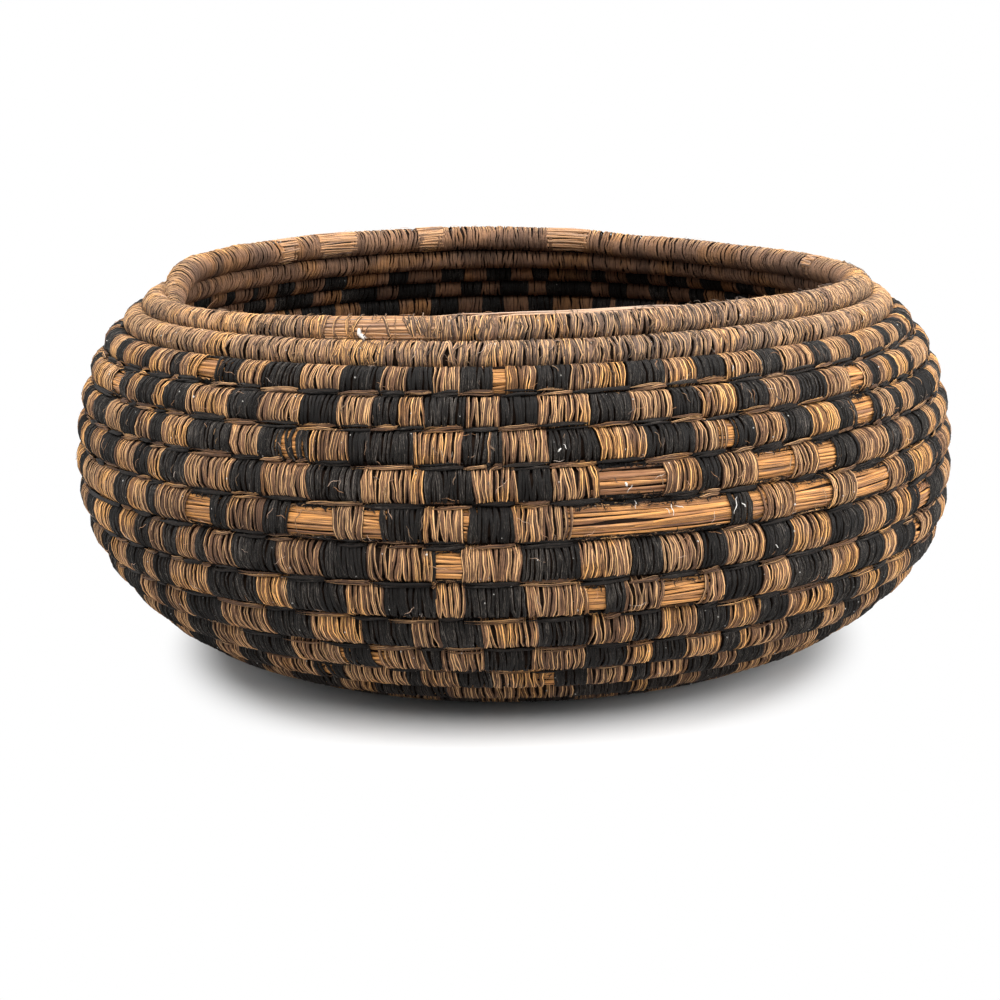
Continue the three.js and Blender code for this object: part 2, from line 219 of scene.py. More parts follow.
class CoilShape(bpy.types.PropertyGroup):
    """Where the coil runs, rim to base."""
    rim_radius: length_setting("Rim radius", "Radius of the rim's coil", 0.1235)
    rim_height: length_setting("Rim height", "Height of the rim's coil", 0.134)
    rim_slope: angle_setting("Rim slope", "Slope of the wall at the rim", 50)
    rim_pitch: length_setting("Rim pitch", "Height of a row at the rim", 0.0136)
    rim_share: bpy.props.FloatProperty(
        name="Rim share", description="Size of the rim's coil beside the other rows", default=0.87,
        min=0.5, max=1.0, subtype="FACTOR")
    shoulder_out: length_setting("Shoulder out", "From the rim out to the shoulder", 0.011)
    shoulder_drop: length_setting("Shoulder drop", "From the rim down to the shoulder", 0.0145)
    shoulder_slope: angle_setting("Shoulder slope", "Slope of the wall at the shoulder", 32)
    shoulder_pitch: length_setting("Shoulder pitch", "Height of a row at the shoulder", 0.0094)
    belly_radius: length_setting("Belly radius", "Largest radius of the coil", 0.1543)
    belly_height: length_setting("Belly height", "Height of the widest row", 0.067)
    belly_pitch: length_setting("Belly pitch", "Height of a row at the belly", 0.0118)
    flank_in: length_setting("Flank in", "From the belly in to the flank", 0.010)
    flank_drop: length_setting("Flank drop", "From the belly down to the flank", 0.0305)
    flank_slope: angle_setting("Flank slope", "Slope of the wall at the flank", 125)
    flank_pitch: length_setting("Flank pitch", "Height of a row at the flank", 0.0123)
    base_radius: length_setting("Base radius", "Radius where the base lies flat", 0.092)
    base_pitch: length_setting("Base pitch", "Width of a row in the base", 0.0109)
    start_radius: length_setting("Start radius", "Radius of the coil's innermost turn", 0.0101)
    thickness: length_setting("Thickness", "Thickness of the bound coil", 0.0114)


class Strands(bpy.types.PropertyGroup):
    """Sizes of the binding strands, the carried strands and the split stems."""
    width: length_setting("Strand width", "Width of one binding strand", 0.00112)
    thickness: length_setting("Strand thickness", "Thickness of one binding strand", 0.00045)
    wander: length_setting("Wander", "How far a strand strays from its line", 0.0009)
    lean: angle_setting("Lean", "How far a strand leans along the coil", 4.5)
    carried_width: length_setting("Carried width", "Width of a carried strand", 0.0016)
    carried_thickness: length_setting("Carried thickness", "Thickness of a carried strand", 0.0009)
    splint_width: length_setting("Stem width", "Width of one split stem", 0.0019)
    splint_thickness: length_setting("Stem thickness", "Thickness of one split stem", 0.0009)
    seed: bpy.props.IntProperty(name="Seed", description="Chooses the strands' small differences", default=7)


class Colours(bpy.types.PropertyGroup):
    """Colours of the basket's fibres."""
    honey: tint_setting("Honey", "Turns a natural strand yellower", 1.35, 1.20, 0.75)
    shade: tint_setting("Shade", "Turns a natural strand greyer and darker", 0.62, 0.66, 0.74)
    # The dark of cracks between fibres; the same colour paints shade between and along the strands, near the floor and
    # over the covered bundle
    crack_and_shade: colour_setting("Crack", "Dark gap between fibres", 0.017, 0.009, 0.0055)
    umber: colour_setting("Umber", "Darkest natural strand", 0.070, 0.037, 0.023)
    brown: colour_setting("Brown", "Common natural strand", 0.232, 0.118, 0.067)
    tan: colour_setting("Tan", "Light natural strand", 0.55, 0.280, 0.138)
    gold: colour_setting("Gold", "Brightest fibre", 1.0, 0.575, 0.265)
    black: colour_setting("Black", "Dyed strand", 0.0065, 0.0060, 0.0056)
    grey: colour_setting("Grey", "Worn fibre of a dyed strand", 0.23, 0.195, 0.165)
    splint: colour_setting("Stem", "Split stem", 0.64, 0.285, 0.078)
    splint_red: colour_setting("Reddish stem", "Darker split stem", 0.27, 0.120, 0.055)
    dust: colour_setting("Dust", "Dust and lint", 0.78, 0.75, 0.70)


class Stage(bpy.types.PropertyGroup):
    """The floor, the light and the camera."""
    floor_size: length_setting("Floor size", "Side of the floor", 8.0)
    sky: bpy.props.FloatProperty(name="Sky", description="Strength of the light from all round", default=0.38)
    key: power_setting("Key", "Power of the main lamp", 35.0)
    top: power_setting("Top", "Power of the large lamp overhead", 30.0)
    side: power_setting("Side", "Power of the low lamps at both sides", 16.0)
    lens: bpy.props.FloatProperty(name="Lens", description="The camera's focal length in millimetres", default=69.78)


# ---- The coil's path ----

def eased(share):
    """0 to 1 with a soft start and a soft end."""
    share = np.clip(share, 0, 1)
    return share * share * (3 - 2 * share)


def eased_between(at, table):
    """A value read between the entries of a table, with soft steps."""
    keys, values = np.array(table).T
    k = np.clip(np.searchsorted(keys, at, side="right") - 1, 0, len(keys) - 2)
    return values[k] + (values[k + 1] - values[k]) * eased((at - keys[k]) / (keys[k + 1] - keys[k]))


def unit(vectors):
    """Directions of length 1."""
    return vectors / np.linalg.norm(vectors, axis=-1, keepdims=True)


def down(slope):
    """The way down a wall of that slope, in the profile plane."""
    return np.array([math.cos(slope), -math.sin(slope)])


class Coil:
    """The spiral coil: its profile from rim to base, and the frame at any turn."""

    def __init__(self, shape):
        self.shape = shape
        self.half = shape.thickness / 2
        rim = np.array([shape.rim_radius, shape.rim_height])
        shoulder = rim + [shape.shoulder_out, -shape.shoulder_drop]
        belly = np.array([shape.belly_radius, shape.belly_height])
        flank = belly - [shape.flank_in, shape.flank_drop]
        base = np.array([shape.base_radius, self.half])
        knots = (
            (rim, shape.rim_slope, shape.rim_pitch),
            (shoulder, shape.shoulder_slope, shape.shoulder_pitch),
            (belly, math.radians(90), shape.belly_pitch),
            (flank, shape.flank_slope, shape.flank_pitch),
            (base, math.radians(180), shape.base_pitch),
        )
        points, rows = [rim], [0.0]
        for (upper, slope, pitch), (lower, next_slope, next_pitch) in zip(knots, knots[1:]):
            span = np.linalg.norm(upper - lower)
            for k in range(1, SAMPLES_PER_SPAN + 1):
                s = k / SAMPLES_PER_SPAN
                start = (1 + 2 * s) * (1 - s) ** 2
                point = upper * start + lower * (1 - start)
                point = point + down(slope) * s * (1 - s) ** 2 * span - down(next_slope) * s * s * (1 - s) * span
                here = pitch + (next_pitch - pitch) * (k - 0.5) / SAMPLES_PER_SPAN
                rows.append(rows[-1] + np.linalg.norm(point - points[-1]) / here)
                points.append(point)
        self.rows, self.points = np.array(rows), np.array(points)
        free = self.rows[-1] + (shape.base_radius - shape.start_radius) / shape.base_pitch
        self.turns_per_row = (ROWS + COIL_END_TURN - RIM_TURN) / free
        self.rim_step = down(shape.rim_slope) * shape.rim_pitch

    def profile(self, turn):
        """Radius and height of the coil's centre line at each turn."""
        rows = (np.asarray(turn, float) - RIM_TURN) / self.turns_per_row
        radius = np.interp(rows, self.rows, self.points[:, 0])
        height = np.interp(rows, self.rows, self.points[:, 1])
        above = np.minimum(rows, 0)
        beyond = np.maximum(rows - self.rows[-1], 0)
        radius = radius + above * self.rim_step[0] - beyond * self.shape.base_pitch
        return np.stack([radius, height + above * self.rim_step[1]], axis=-1)

    def section(self, turn):
        """Centre, direction down the wall, outward direction, half height and share of full size at each turn."""
        turn = np.asarray(turn, float)
        upper, lower = self.profile(turn - 0.5), self.profile(turn + 0.5)
        along = lower - upper
        height = np.linalg.norm(along, axis=-1, keepdims=True)
        along = along / height
        outward = np.stack([-along[..., 1], along[..., 0]], axis=-1)
        taper = np.sin(np.clip((turn - TIP_TURN) / TAPER_TURN, 0, 1) * math.pi / 2)
        slim = self.shape.rim_share + (1 - self.shape.rim_share) * np.clip((turn - SLIM_UNTIL) / SLIM_OVER, 0, 1)
        share = ((TIP_SHARE + (1 - TIP_SHARE) * taper) * slim)[..., None]
        sink = np.array([0.0, -TIP_SINK]) * eased((TIP_SINK_TURN - turn) / TIP_SINK_OVER)[..., None]
        centre = lower + ((upper + lower) / 2 - lower) * share + sink
        return centre, along, outward, height[..., 0] / 2 * share[..., 0], share[..., 0]

    def place(self, turn, flat):
        """Points of the profile plane set at their turn round the basket, with its own unevenness."""
        round_it = TAU * np.asarray(turn, float)
        degrees = np.degrees(-round_it) % 360
        radius, height = flat[..., 0], flat[..., 1]
        at_rim = eased((height - DIP_FROM) / DIP_OVER)
        dip = eased_between(degrees, RIM_DIPS)
        lift = BACK_LIFT * eased(1 - np.abs(degrees - BACK_AT) / BACK_REACH) * eased((height - BACK_FROM) / BACK_OVER)
        swell = FLANK_SWELL * eased(1 - np.abs(degrees - FLANK_AT) / FLANK_REACH)
        radius = radius + swell * eased(1 - np.abs(height - FLANK_HEIGHT) / FLANK_SPAN)
        height = np.maximum(height + at_rim * dip + (1 - at_rim) * lift, LEAST_HEIGHT)
        return np.stack([-radius * np.sin(round_it), -radius * np.cos(round_it), height], axis=-1)

    def turned(self, turn, flat):
        """Directions of the profile plane at their turn round the basket."""
        round_it = TAU * np.asarray(turn, float)
        return np.stack([-flat[..., 0] * np.sin(round_it), -flat[..., 0] * np.cos(round_it), flat[..., 1]], axis=-1)

    def lengthways(self, turn):
        """Direction of the coil at each turn."""
        step = 0.001
        ahead = self.place(turn + step, self.section(turn + step)[0])
        behind = self.place(turn - step, self.section(turn - step)[0])
        return unit(ahead - behind)

    def row_length(self, row):
        """Length of one turn of the coil at the front of a row."""
        return TAU * float(self.section(float(row))[0][0])

    def turn_at(self, row, strands):
        """The turn at so many strands right of the basket's front in a row."""
        return row - np.asarray(strands, float) * CHART_STRAND / self.row_length(row)

    def on_surface(self, turns, angle, reach):
        """Points round the section at an angle from outward towards the row below, and their outward directions."""
        centre, along, outward, half_row, share = self.section(turns)
        angle, reach = (np.broadcast_to(x, turns.shape)[:, None] for x in (angle, reach))
        across = half_row[:, None] - self.half + reach
        flat = centre + outward * np.cos(angle) * reach * share[:, None] + along * np.sin(angle) * across
        facing = unit(outward * np.cos(angle) * across + along * np.sin(angle) * reach)
        return self.place(turns, flat), self.turned(turns, facing)


def read_chart(start, text):
    """Blocks of one row as (first strand, last strand, kind)."""
    blocks, at = [], start
    for word in text.split():
        count = int(word[1:])
        blocks.append((at, at + count, word[0]))
        at += count
    return blocks


def row_turns(row):
    """The turns at which a row starts and ends; the first one starts at the tip."""
    return TIP_TURN if row == 1 else COIL_END_TURN + row - 1, COIL_END_TURN + row


def row_blocks(coil, row):
    """Every block of a row, from its right end to its left end, as (first turn, last turn, kind)."""
    first, last = row_turns(row)
    if row < FIRST_PATTERNED_ROW:
        worn = RIM_WORN if row == 1 else ()
        return [(first, last, "n"), *((coil.turn_at(1, right), coil.turn_at(1, left), "w") for left, right in worn)]
    known = []
    for chart in (PATTERN, BACK_PATTERN):
        if row in chart:
            for left, right, kind in read_chart(*chart[row]):
                known.append((float(coil.turn_at(row, right)), float(coil.turn_at(row, left)), kind))
    known.sort()
    rng = np.random.default_rng(settings()[1].seed + row)
    blocks, at, kind = [], first, "n"
    per_turn = CHART_STRAND / coil.row_length(row)

    def fill(until):
        nonlocal at, kind
        while at < until - 1e-6:
            end = at + rng.integers(*OTHER_BLOCKS) * per_turn
            if until - end < LEAST_BLOCK * per_turn:
                end = until
            blocks.append((at, end, kind))
            kind = "b" if kind == "n" else "n"
            at = end

    for start, end, block in known:
        if end <= first or start >= last:
            continue
        fill(max(start, first))
        blocks.append((max(start, at), min(end, last), block))
        at = min(end, last)
        kind = "n" if block == "b" else "b"
    fill(last)
    return blocks


# ---- Meshes ----

def new_mesh(name, points, edges=(), faces=()):
    mesh = bpy.data.meshes.new(name)
    mesh.from_pydata([tuple(p) for p in points], [tuple(e) for e in edges], [tuple(f) for f in faces])
    return mesh


def new_object(name, data):
    piece = bpy.data.objects.new(name, data)
    bpy.context.scene.collection.objects.link(piece)
    return piece


def note(mesh, name, values):
    """Keeps one value or direction for every point of a mesh."""
    values = np.asarray(values, dtype=np.float32)
    kind, field = ("FLOAT", "value") if values.ndim == 1 else ("FLOAT_VECTOR", "vector")
    layer = mesh.attributes.new(name, kind, "POINT")
    layer.data.foreach_set(field, values.ravel())


def grown(name, guide, tree, sizes, finish):
    """Runs a node tree on a guide mesh and keeps the result as a plain piece."""
    guide_object = new_object(name + "_guide", guide)
    modifier = guide_object.modifiers.new("Grow", "NODES")
    modifier.node_group = ready(tree)
    sockets = {s.name: s.identifier for s in modifier.node_group.interface.items_tree if s.in_out == "INPUT"}
    for key, value in {**sizes, "Material": ready(finish)}.items():
        modifier[sockets[key]] = value
    guide_object.update_tag()
    bpy.context.view_layer.update()
    depsgraph = bpy.context.evaluated_depsgraph_get()
    mesh = bpy.data.meshes.new_from_object(
        guide_object.evaluated_get(depsgraph), preserve_all_data_layers=True, depsgraph=depsgraph)
    mesh.name = name
    piece = new_object(name, mesh)
    bpy.data.objects.remove(guide_object)
    bpy.data.meshes.remove(guide)
    return piece


# ---- Node trees ----

class Wire:
    """One output socket of a tree, so that masks and colours can be written as sums."""

    def __init__(self, board, socket):
        self.board, self.socket = board, socket

    def _join(self, operation, first, second):
        wide = any(isinstance(x, Wire) and x.socket.type in {"VECTOR", "RGBA"} for x in (first, second))
        kind = "ShaderNodeVectorMath" if wide else "ShaderNodeMath"
        values = [(x, x, x) if wide and isinstance(x, (int, float)) else x for x in (first, second)]
        return self.board.put(kind, {0: values[0], 1: values[1]}, operation=operation)

    def __add__(self, other): return self._join("ADD", self, other)
    def __radd__(self, other): return self._join("ADD", other, self)
    def __sub__(self, other): return self._join("SUBTRACT", self, other)
    def __rsub__(self, other): return self._join("SUBTRACT", other, self)
    def __mul__(self, other): return self._join("MULTIPLY", self, other)
    def __truediv__(self, other): return self._join("DIVIDE", self, other)

    def scaled(self, amount):
        """A direction times a number."""
        return self.board.put("ShaderNodeVectorMath", {0: self, "Scale": amount}, operation="SCALE")

    def ramp(self, low, high):
        """0 below low, 1 above high, smooth between."""
        limits = {"Value": self, "From Min": low, "From Max": high}
        return self.board.put("ShaderNodeMapRange", limits, interpolation_type="SMOOTHSTEP")

    def fraction(self):
        return self.board.put("ShaderNodeMath", {0: self}, operation="FRACT")

    def distance(self):
        """How far a value is from 0."""
        return self.board.put("ShaderNodeMath", {0: self}, operation="ABSOLUTE")

    def part(self, axis):
        return self.board.put("ShaderNodeSeparateXYZ", {0: self}, out=axis)


class Board:
    """A node tree being wired."""

    def __init__(self, tree):
        self.tree = tree

    def put(self, kind, inputs=None, out=0, **options):
        """Adds one node, sets it up, wires it, and gives one of its outputs."""
        node = self.tree.nodes.new(kind)
        for key, value in options.items():
            setattr(node, key, value)
        for key, value in (inputs or {}).items():
            socket = node.inputs[key]
            if isinstance(value, Wire):
                self.tree.links.new(value.socket, socket)
            else:
                socket.default_value = value
        return Wire(self, node.outputs[out]) if node.outputs else node

    def mix(self, share, low, high):
        """From one colour to another."""
        low, high = (c if isinstance(c, Wire) else (*c, 1.0) for c in (low, high))
        return self.put("ShaderNodeMix", {0: share, 6: low, 7: high}, out=2, data_type="RGBA")

    def vector(self, x, y=0.0, z=0.0):
        return self.put("ShaderNodeCombineXYZ", {0: x, 1: y, 2: z})

    def noise(self, place, scale, detail, w=None, out=0):
        inputs = {"Vector": place, "Scale": scale, "Detail": detail}
        if w is not None:
            inputs["W"] = w
        return self.put("ShaderNodeTexNoise", inputs, out=out, noise_dimensions="3D" if w is None else "4D")

    def kept(self, name, kind="FLOAT"):
        """A value kept on the guide mesh."""
        return self.put("GeometryNodeInputNamedAttribute", {"Name": name}, data_type=kind)

    def store(self, geometry, name, value, kind="FLOAT"):
        """Keeps a value on every point."""
        inputs = {"Geometry": geometry, "Name": name, "Value": value}
        return self.put("GeometryNodeStoreNamedAttribute", inputs, data_type=kind, domain="POINT")

    def place(self):
        """Where a point of the piece lies."""
        return self.put("ShaderNodeTexCoord", out="Object")

    def shown(self, name, out="Fac"):
        """A value of the piece, as its finish reads it."""
        return self.put("ShaderNodeAttribute", out=out, attribute_name=name, attribute_type="GEOMETRY")


def fibre_tree(name, *sizes):
    """A new geometry tree with a guide mesh in, a mesh out, and named sizes, a seed and a material between."""
    tree = bpy.data.node_groups.new(name, "GeometryNodeTree")
    inputs = (("Geometry", "Geometry"), *sizes, ("Wander", "Float"), ("Seed", "Float"), ("Material", "Material"))
    for label, kind in inputs:
        tree.interface.new_socket(label, in_out="INPUT", socket_type="NodeSocket" + kind)
    tree.interface.new_socket("Geometry", in_out="OUTPUT", socket_type="NodeSocketGeometry")
    board = Board(tree)
    entry = tree.nodes.new("NodeGroupInput")
    return board, {s.name: Wire(board, s) for s in entry.outputs if s.name}


def close_tree(board, geometry, material):
    """Realizes the instances, smooths the faces, sets the material and ends the tree."""
    geometry = board.put("GeometryNodeRealizeInstances", {0: geometry})
    geometry = board.put("GeometryNodeSetShadeSmooth", {0: geometry})
    geometry = board.put("GeometryNodeSetMaterial", {"Geometry": geometry, "Material": material})
    board.put("NodeGroupOutput", {0: geometry})
    return board.tree


def winding_tree():
    """Sets a closed strand round the coil at every guide point, leans it and lets it wander."""
    board, given = fibre_tree(WINDING, ("Strand", "Object"), ("Half Thickness", "Float"))
    seed, wander = given["Seed"], given["Wander"]
    tone = board.kept("tone")
    lengthways, outward = board.kept("lengthways", "FLOAT_VECTOR"), board.kept("outward", "FLOAT_VECTOR")
    strand = board.put("GeometryNodeObjectInfo", {"Object": given["Strand"]}, out="Geometry")
    facing = board.put("FunctionNodeAxesToRotation", {0: lengthways, 1: outward})
    lean = board.put("FunctionNodeAxisAngleToRotation", {"Axis": (1.0, 0.0, 0.0), "Angle": board.kept("lean")})
    facing = board.put("FunctionNodeRotateRotation", {0: facing, 1: lean}, rotation_space="LOCAL")
    lift = board.kept("lift")
    size = board.vector(given["Half Thickness"] * lift, board.kept("half_row") * lift, board.kept("strand_width"))
    wound = board.put("GeometryNodeInstanceOnPoints", {
        "Points": given["Geometry"], "Instance": strand, "Rotation": facing, "Scale": size})
    wound = board.put("GeometryNodeRealizeInstances", {0: wound})
    place = board.put("GeometryNodeInputPosition")
    sway = board.noise(place, 150.0, 1.0, w=seed) - 0.5
    stray = board.noise(place, 130.0, 1.0, w=tone * 40.0 + seed) - 0.5
    bump = board.noise(place, 420.0, 0.0, w=tone * 23.0) - 0.5
    ragged = board.noise(place, 460.0, 1.0, w=tone * 57.0) - 0.5
    shift = lengthways.scaled((sway * 2.0 + stray * 1.3 + ragged * 1.1) * wander)
    shift = shift + outward.scaled(bump * wander * 0.35)
    wound = board.put("GeometryNodeSetPosition", {"Geometry": wound, "Offset": shift})
    return close_tree(board, wound, given["Material"])


def run_tree():
    """Makes every guide line a flat or round fibre that follows it, wide as its kept girth says."""
    board, given = fibre_tree(LINES, ("Width", "Float"), ("Thickness", "Float"), ("Sides", "Int"))
    outward = board.kept("outward", "FLOAT_VECTOR")
    line = board.put("GeometryNodeMeshToCurve", {"Mesh": given["Geometry"]})
    line = board.put("GeometryNodeSetCurveNormal", {"Curve": line, "Normal": outward}, mode="FREE")
    line = board.store(line, "run", board.put("GeometryNodeSplineParameter", out="Length"))
    outline = board.put("GeometryNodeCurvePrimitiveCircle", {"Resolution": given["Sides"], "Radius": 0.5})
    outline = board.store(outline, "across", board.put("GeometryNodeSplineParameter", out="Factor"))
    flat = board.vector(given["Thickness"], given["Width"], 1.0)
    outline = board.put("GeometryNodeTransform", {"Geometry": outline, "Scale": flat})
    fibres = board.put("GeometryNodeCurveToMesh", {
        "Curve": line, "Profile Curve": outline, "Scale": board.kept("girth"), "Fill Caps": True})
    fibre_map = board.vector(board.kept("run") / 0.037, board.kept("across"), 1.0)
    fibres = board.store(fibres, "fibre_map", fibre_map, "FLOAT_VECTOR")
    place = board.put("GeometryNodeInputPosition")
    drift = board.noise(place, 260.0, 2.0, w=board.kept("tone") * 30.0 + given["Seed"], out=1) - (0.5, 0.5, 0.5)
    fibres = board.put("GeometryNodeSetPosition", {"Geometry": fibres, "Offset": drift.scaled(given["Wander"])})
    return close_tree(board, fibres, given["Material"])


# ---- Finishes ----

def new_finish(name, roughness, specular):
    """A material with its board and its one shader, and the basket's colours."""
    material = bpy.data.materials.new(name)
    material.use_nodes = True
    board = Board(material.node_tree)
    shader = board.tree.nodes["Principled BSDF"]
    shader.inputs["Roughness"].default_value = roughness
    shader.inputs["Specular IOR Level"].default_value = specular
    return material, board, shader, settings()[2]


def finish_shader(board, shader, colour, height, strength, distance, roughness=None):
    """Wires the colour, the relief and the roughness."""
    bump = board.put("ShaderNodeBump", {"Strength": strength, "Distance": distance, "Height": height}, out="Normal")
    board.tree.links.new(bump.socket, shader.inputs["Normal"])
    board.tree.links.new(colour.socket, shader.inputs["Base Color"])
    if roughness is not None:
        board.tree.links.new(roughness.socket, shader.inputs["Roughness"])


def fibre_noise(board, fibre, tone, runs, crosses, detail, seed, layer=0.0):
    """Noise drawn out along a fibre, another on each one: so many cells to its run, so many across it."""
    run, across, _ = fibre
    return board.noise(board.vector(run * runs, across * crosses, layer), 1.0, detail, w=tone * seed)


def fibre_place(board):
    """The place along a fibre and across it, and 1 where it isn't wound."""
    kept = board.shown("fibre_map", "Vector")
    return kept.part("X"), kept.part("Y"), kept.part("Z")


def specks(board, place, scale, radius, amount, w):
    """Small scattered spots of dust."""
    cells = {"Vector": place, "Scale": scale, "W": w}
    near = board.put("ShaderNodeTexVoronoi", cells, out="Distance", voronoi_dimensions="4D")
    picked = board.put("ShaderNodeTexVoronoi", cells, out="Color", voronoi_dimensions="4D").part("X")
    return (1.0 - near.ramp(radius * 0.6, radius)) * picked.ramp(1.0 - amount, 1.0 - amount * 0.8)


def strand_finish():
    """Split strands, natural brown or dyed black: a thin bright fibre on some, partly worn gold and partly a painted
    highlight; painted shade in their gaps and near the floor; cracks and dust.
    """
    material, board, shader, colours = new_finish(WOUND, 0.62, 0.2)
    tone, dye, patch, place = board.shown("tone"), board.shown("dye"), board.shown("patch"), board.place()
    fibre = around, across, unwound = fibre_place(board)
    third = (tone * 41.7).fraction()
    drift = fibre_noise(board, fibre, tone, 5.0, 0.0, 2.0, 71.0) - 0.5
    streak = fibre_noise(board, fibre, tone, 8.0, 2.0, 2.0, 97.0)
    hair = fibre_noise(board, fibre, tone, 11.0, 22.0, 3.0, 61.0)
    grit = fibre_noise(board, fibre, tone, 40.0, 26.0, 2.0, 43.0)
    cloud = board.noise(place, 75.0, 3.0)
    # Where on the strand: from the dip between its two ribs to its edges, and on the basket's inside, where the painted
    # highlight and the painted shade are mostly left out, the fibres show less contrast and no dust specks lie
    side = (across - 0.4).distance()
    inside = (around - 0.5).distance().ramp(0.17, 0.31)
    inner = inside * (1.0 - dye * 0.5) * (1.0 - unwound)
    # A bright fibre along the crest of each rib, random in strength: partly the pale gold of worn tops, partly a
    # painted highlight where light falls on the crest; mostly left out on the inside
    rib = across.ramp(0.38, 0.42)
    pick = (tone * 17.3 + rib * 0.43 + third * rib * 0.3).fraction()
    crest = (side - 0.18 - drift * 0.10).distance()
    glow = (pick + patch * 0.25 + (streak - 0.5) * 1.3 + (grit - 0.5) * 0.6).ramp(0.32, 1.0)
    wear_and_highlight = (1.0 - crest.ramp(0.05, 0.15)) * (glow * 0.85 + 0.12) * (1.0 - inner * 0.93)
    # Natural strands
    base = tone * (0.30 - inner * 0.20) + patch * 0.34 + (cloud - 0.5) * 0.9 + inner * 0.26
    base = base + (hair - 0.5) * (1.6 - inner * 1.2) + (grit - 0.5) * (1.7 - inner * 1.2)
    natural = board.mix(base.ramp(0.06, 0.66), colours.umber, colours.brown)
    natural = board.mix(base.ramp(0.52, 1.05), natural, colours.tan)
    bright = board.mix((glow * 0.8 + grit * 0.5 + hair * 0.5).ramp(0.72, 1.25), colours.tan, colours.gold)
    natural = board.mix(wear_and_highlight, natural, bright)
    blotch = board.noise(place, 58.0, 2.0, w=4.0)
    natural = board.mix(blotch.ramp(0.50, 0.62) * 0.65, natural, natural * colours.honey)
    natural = board.mix((1.0 - blotch.ramp(0.36, 0.50)) * 0.65, natural, natural * colours.shade)
    # Dyed strands, worn grey in places, a little greyer along the crests of the ribs, where the painted highlight falls
    worn = hair * 0.9 + (cloud - 0.5) * 0.4 + (grit - 0.5) * 0.7 + wear_and_highlight * third * 0.16 - 0.08
    dyed = board.mix(worn.ramp(0.45, 0.70), colours.black, colours.grey)
    colour = board.mix(dye, natural, dyed)
    # Painted shade in the dip between a strand's two ribs and over its outer slopes to the edges where strands meet,
    # weaker on the inside; then dark cracks between the fibres, in part painted shade, fainter on the inside
    groove = (1.0 - side.ramp(0.02, 0.10)) * 0.38 * (1.0 - inner)
    edge = side.ramp(0.22, 0.36) * (0.42 + third * 0.5 - dye * 0.10 - inner * 0.3)
    colour = board.mix(edge + groove, colour, colours.crack_and_shade)
    crack_and_shade = (1.0 - hair.ramp(0.33, 0.41)) * (0.6 - inner * 0.45)
    colour = board.mix(crack_and_shade, colour, colours.crack_and_shade)
    # Dust, and painted shade near the floor
    for scale, radius, amount, seed in ((420.0, 0.19, 0.05, 3.0), (760.0, 0.26, 0.06, 5.0)):
        spots = specks(board, place, scale, radius, amount, seed) * (0.85 - inner * 0.85)
        colour = board.mix(spots, colour, colours.dust)
    colour = board.mix(dye * (1.0 - dye) * (0.30 + cloud * 0.5), colour, colours.dust)
    floor_shade = (1.0 - place.part("Z").ramp(0.004, 0.024)) * 0.5
    colour = board.mix(floor_shade, colour, colours.crack_and_shade)
    relief = hair * 0.9 + grit * 0.5 + wear_and_highlight * 0.3
    finish_shader(board, shader, colour, relief, 0.95, 0.0005, 0.5 + hair * 0.3)
    return material


def stem_finish():
    """Split stems: golden to reddish tan, with long fibre lines and dark cracks."""
    material, board, shader, colours = new_finish(STEMS, 0.55, 0.3)
    tone, place = board.shown("tone"), board.place()
    fibre = fibre_place(board)
    grain = fibre_noise(board, fibre, tone, 5.0, 9.0, 4.0, 80.0)
    lines = fibre_noise(board, fibre, tone, 1.6, 11.0, 2.0, 55.0)
    fine = fibre_noise(board, fibre, tone, 2.4, 19.0, 1.0, 35.0)
    flaw = fibre_noise(board, fibre, tone, 9.0, 9.0, 3.0, 33.0, layer=4.0)
    cloud = board.noise(place, 110.0, 4.0)
    colour = board.mix((tone * 0.9 + (cloud - 0.5) * 1.1).ramp(0.05, 0.8), colours.splint_red, colours.splint)
    colour = board.mix((grain * 0.7 + lines * 0.5).ramp(0.60, 0.82) * 0.6, colour, colours.gold)
    colour = board.mix((1.0 - lines.ramp(0.40, 0.48)) * 0.9, colour, colours.umber)
    colour = board.mix((1.0 - fine.ramp(0.34, 0.42)) * 0.8, colour, colours.crack_and_shade)
    colour = board.mix(board.shown("patch"), colour, colours.dust)
    colour = board.mix(flaw.ramp(0.66, 0.74) * 0.8, colour, colours.crack_and_shade)
    colour = board.mix(specks(board, place, 420.0, 0.17, 0.03, 9.0), colour, colours.dust)
    finish_shader(board, shader, colour, grain + lines * 0.8, 0.7, 0.0004, 0.45 + grain * 0.3)
    return material


def bundle_shade_finish():
    """The covered bundle: dark with faint umber grain, painted shade where it shows between the wraps, in its seams and
    in worn openings.
    """
    material, board, shader, colours = new_finish(BUNDLE, 0.8, 0.1)
    run, across, _ = fibre_place(board)
    grain = board.noise(board.vector(run * 2.0, across * 40.0), 1.0, 3.0)
    colour = board.mix(grain.ramp(0.45, 0.9) * 0.25, colours.crack_and_shade, colours.umber)
    finish_shader(board, shader, colour, grain, 0.6, 0.0006)
    return material


def loose_finish():
    """Loose hairs and lint."""
    material, board, shader, colours = new_finish(LOOSE, 0.6, 0.3)
    flecked = board.noise(board.place(), 700.0, 2.0)
    colour = board.mix(board.shown("tone").ramp(0.3, 0.7), colours.tan, colours.dust)
    colour = board.mix(flecked.ramp(0.6, 0.8) * 0.5, colour, colours.brown)
    finish_shader(board, shader, colour, flecked, 0.3, 0.0002)
    return material


MAKERS = {LINES: run_tree, WINDING: winding_tree, WOUND: strand_finish, STEMS: stem_finish,
          BUNDLE: bundle_shade_finish, LOOSE: loose_finish}


def ready(name):
    """A finish or tree by its name, made once and shared by the pieces."""
    return bpy.data.materials.get(name) or bpy.data.node_groups.get(name) or MAKERS[name]()


# ---- Strands and fibres ----

